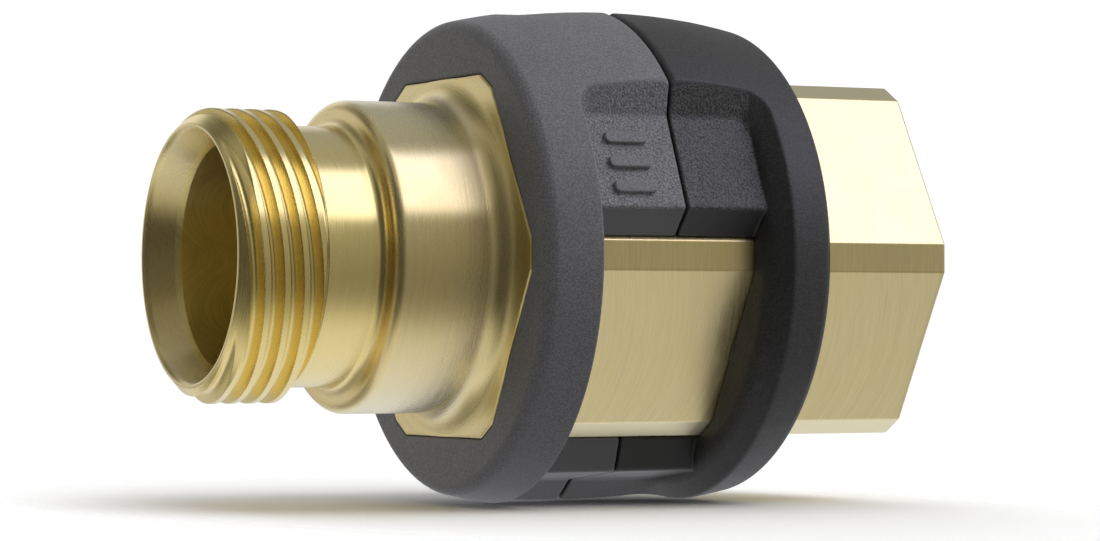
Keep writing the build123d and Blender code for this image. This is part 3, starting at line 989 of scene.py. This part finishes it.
def floor_material():
    """White, darker close to the part, and fading to nothing away from it."""
    mat, net = material("floor_white")
    diffuse = net.new("ShaderNodeBsdfDiffuse")
    occlusion = net.new("ShaderNodeAmbientOcclusion", samples=12)
    occlusion.inputs["Distance"].default_value = 0.075
    # painted contact shadow: the floor's colour darkens with the part's ambient occlusion close
    # to it
    tone = net.remap(occlusion.outputs["AO"], span=(0.05, 0.95), to=(0.95, 1.82))
    net.put(diffuse.inputs[0], net.grey(tone))
    clear = net.new("ShaderNodeBsdfTransparent")
    geometry = net.new("ShaderNodeNewGeometry")
    fade_oval = (1.6, 0.8, 0.0)         # weights on x, y, z in the distance from the origin
    distance = net.vec("LENGTH", net.vec("MULTIPLY", geometry.outputs["Position"], fade_oval))
    faded = net.remap(distance, span=(0.034, 0.066), smooth=True)
    mixed = net.new("ShaderNodeMixShader")
    net.put(mixed.inputs[0], net.math("MAXIMUM", geometry.outputs["Backfacing"], faded))
    net.link(diffuse.outputs[0], mixed.inputs[1])
    net.link(clear.outputs[0], mixed.inputs[2])
    output = net.new("ShaderNodeOutputMaterial")
    net.link(mixed.outputs[0], output.inputs[0])
    return mat


def add_floor():
    half = 1.5
    height = float(cad_box[0][2]) - 0.00002
    mesh = bpy.data.meshes.new("floor")
    mesh.from_pydata([(-half, -half, height), (half, -half, height), (half, half, height),
                      (-half, half, height)], [], [(0, 1, 2, 3)])
    floor = bpy.data.objects.new("floor", mesh)
    scene.collection.objects.link(floor)
    mesh.materials.append(floor_material())
    floor.visible_glossy = False
    floor.visible_diffuse = False
    floor.visible_transmission = False
    floor.visible_shadow = False


# brightness against height: (0 straight down to 1 straight up, luminance)
AHEAD = [(0.0, 0.82), (0.06, 0.80), (0.10, 0.70), (0.18, 0.42), (0.27, 0.28), (0.38, 0.27),
         (0.50, 0.31), (0.60, 0.36), (0.70, 0.40), (0.80, 0.40), (0.92, 0.38), (1.0, 0.40)]
BEHIND = [(0.0, 0.84), (0.20, 0.84), (0.35, 0.72), (0.50, 0.48), (0.65, 0.40), (0.80, 0.37),
          (1.0, 0.42)]


def luminance(net, sky_z, stops):
    to_grey = net.new("ShaderNodeRGBToBW")
    ramp = net.new("ShaderNodeValToRGB")
    elements = ramp.color_ramp.elements
    while len(elements) < len(stops):
        elements.new(0.5)
    for element, (position, value) in zip(elements, stops):
        element.position = position
        element.color = (value, value, value, 1)
    net.put(ramp.inputs[0], net.remap(sky_z, span=(-1, 1)))
    net.link(ramp.outputs[0], to_grey.inputs[0])
    return to_grey.outputs[0]


def surroundings(net, sky_x, sky_y, sky_z):
    """In front a bright floor and a dim horizon, behind a pale sweep."""
    ahead = luminance(net, sky_z, AHEAD)
    behind = luminance(net, sky_z, BEHIND)
    # in front it is dimmer on the left, except high up and straight below
    left = net.remap(sky_x, span=(-0.40, 0.15), to=(0.24, 1.0), smooth=True)
    lift = net.mul(net.remap(sky_z, span=(0.40, 0.75)), net.remap(sky_x, span=(-0.55, -0.32)),
                   net.remap(sky_y, span=(0.20, -0.15)))
    left = net.math("MAXIMUM", left, lift)
    below = net.remap(sky_z, span=(-0.75, -0.40), to=(0.88, 0.0))
    ahead = net.mul(ahead, net.math("MAXIMUM", left, below))
    # behind and to the left it is darker, high up and low down
    off_level = net.math("ABSOLUTE", net.math("SUBTRACT", sky_z, 0.08))
    dark = net.mul(net.remap(off_level, span=(0.16, 0.44)),
                   net.remap(sky_x, span=(-0.10, -0.35)),
                   net.remap(sky_y, span=(0.20, 0.50)))
    behind = net.mul(behind, net.remap(dark, span=(0.0, 1.0), to=(1.0, 0.36)))
    to_back = net.remap(sky_y, span=(-0.20, 0.25), smooth=True)
    return net.add(net.mul(ahead, net.one_minus(to_back)), net.mul(behind, to_back))


def key_light(net, sky_x, sky_y, sky_z, power):
    """A long strip over the front right, even in angle about the part's own axis."""
    centre, inner, outer = [math.radians(deg) for deg in (56.5, 19.5, 28.5)]
    turn = net.math("ARCTAN2", sky_z, net.mul(sky_y, -1.0))
    off_centre = net.math("ABSOLUTE", net.math("SUBTRACT", turn, centre))
    strip = net.remap(off_centre, span=(inner, outer), to=(1.0, 0.0), smooth=True)
    strip = net.mul(strip, net.remap(sky_x, span=(0.02, 0.22), smooth=True),
                    net.remap(sky_x, span=(0.86, 0.95), to=(1.0, 0.0), smooth=True))
    return net.mul(strip, power)


def softbox(net, sky, direction, half_w, half_h, soft, power):
    """A rectangular light at infinity: half sizes are tangents of angles, soft its faded edge."""
    centre = Vector(direction).normalized()
    side = Vector((0, 0, 1)).cross(centre).normalized()
    rise = centre.cross(side)
    depth = net.math("MAXIMUM", net.vec("DOT_PRODUCT", sky, tuple(centre)), 0.001)
    masks = []
    for axis, half in ((side, half_w), (rise, half_h)):
        offset = net.math("DIVIDE", net.vec("DOT_PRODUCT", sky, tuple(axis)), depth)
        masks.append(net.remap(net.math("ABSOLUTE", offset), span=(half - soft, half + soft),
                               to=(1.0, 0.0), smooth=True))
    ahead = net.remap(net.vec("DOT_PRODUCT", sky, tuple(centre)), span=(0.02, 0.1))
    return net.mul(*masks, ahead, power)


def add_world():
    world = bpy.data.worlds.new("studio")
    scene.world = world
    world.use_nodes = True
    net = Net(world.node_tree)
    sky = net.vec("NORMALIZE", net.new("ShaderNodeTexCoord").outputs["Generated"])
    sky_x, sky_y, sky_z = net.split(sky)
    total = net.add(
        surroundings(net, sky_x, sky_y, sky_z),
        key_light(net, sky_x, sky_y, sky_z, power=1.45),
        # a weaker one straight behind, so that the far side is lit as well
        softbox(net, sky, direction=(0.10, 0.95, 0.30), half_w=0.35, half_h=0.30, soft=0.14,
                power=0.5),
        # a low, faint one behind on the left for the faces that look along -X
        softbox(net, sky, direction=(-0.4546, 0.89, 0.08), half_w=0.26, half_h=0.12,
                soft=0.08, power=0.26))

    # dim parts of the room are warm, the brighter ones cooler; matt surfaces see no tint
    path = net.new("ShaderNodeLightPath")
    is_diffuse = path.outputs["Is Diffuse Ray"]
    lighting = net.new("ShaderNodeBackground")
    tone = net.mix(net.remap(total, span=(0.25, 0.75)), (1.0, 0.985, 0.90), (1.0, 1.0, 1.05))
    tone = net.mix(net.remap(total, span=(0.9, 1.6)), tone, (1.0, 1.0, 1.28))
    tone = net.mix(is_diffuse, tone, (1.0, 1.0, 1.0))
    net.put(lighting.inputs["Color"], tone)
    # matt surfaces see less of the floor, which the part itself shades
    under = net.remap(sky_z, span=(-0.85, -0.10), to=(0.22, 1.0))
    matt = net.add(net.mul(under, is_diffuse), net.one_minus(is_diffuse))
    net.put(lighting.inputs["Strength"], net.mul(total, matt))

    backdrop = net.new("ShaderNodeBackground")
    net.put(backdrop.inputs["Color"], (1.0, 1.0, 1.0, 1.0))
    net.put(backdrop.inputs["Strength"], 1.05)
    mixed = net.new("ShaderNodeMixShader")
    net.link(path.outputs["Is Camera Ray"], mixed.inputs[0])
    net.link(lighting.outputs[0], mixed.inputs[1])
    net.link(backdrop.outputs[0], mixed.inputs[2])
    output = net.new("ShaderNodeOutputWorld")
    net.link(mixed.outputs[0], output.inputs[0])
    world.cycles.sampling_method = "NONE"


def add_camera():
    data = bpy.data.cameras.new("camera")
    camera = bpy.data.objects.new("camera", data)
    scene.collection.objects.link(camera)
    data.sensor_width = 36.0
    data.lens = 119.84
    data.clip_start, data.clip_end = 0.01, 20.0
    position = (-0.12613, -0.25036, -0.00616)
    azimuth, elevation, roll = -0.472039, -0.0188206, -0.0013919    # radians
    back = Vector((math.sin(azimuth) * math.cos(elevation),
                   -math.cos(azimuth) * math.cos(elevation), math.sin(elevation)))
    level = (-back).cross(Vector((0, 0, 1))).normalized()
    upright = level.cross(-back)
    right = level * math.cos(roll) + upright * math.sin(roll)
    up = -level * math.sin(roll) + upright * math.cos(roll)
    camera.matrix_world = Matrix((*zip(right, up, back, position), (0, 0, 0, 1)))
    scene.camera = camera


add_floor()
add_world()
scene.view_settings.view_transform = "Standard"
scene.view_settings.look = "None"
add_camera()
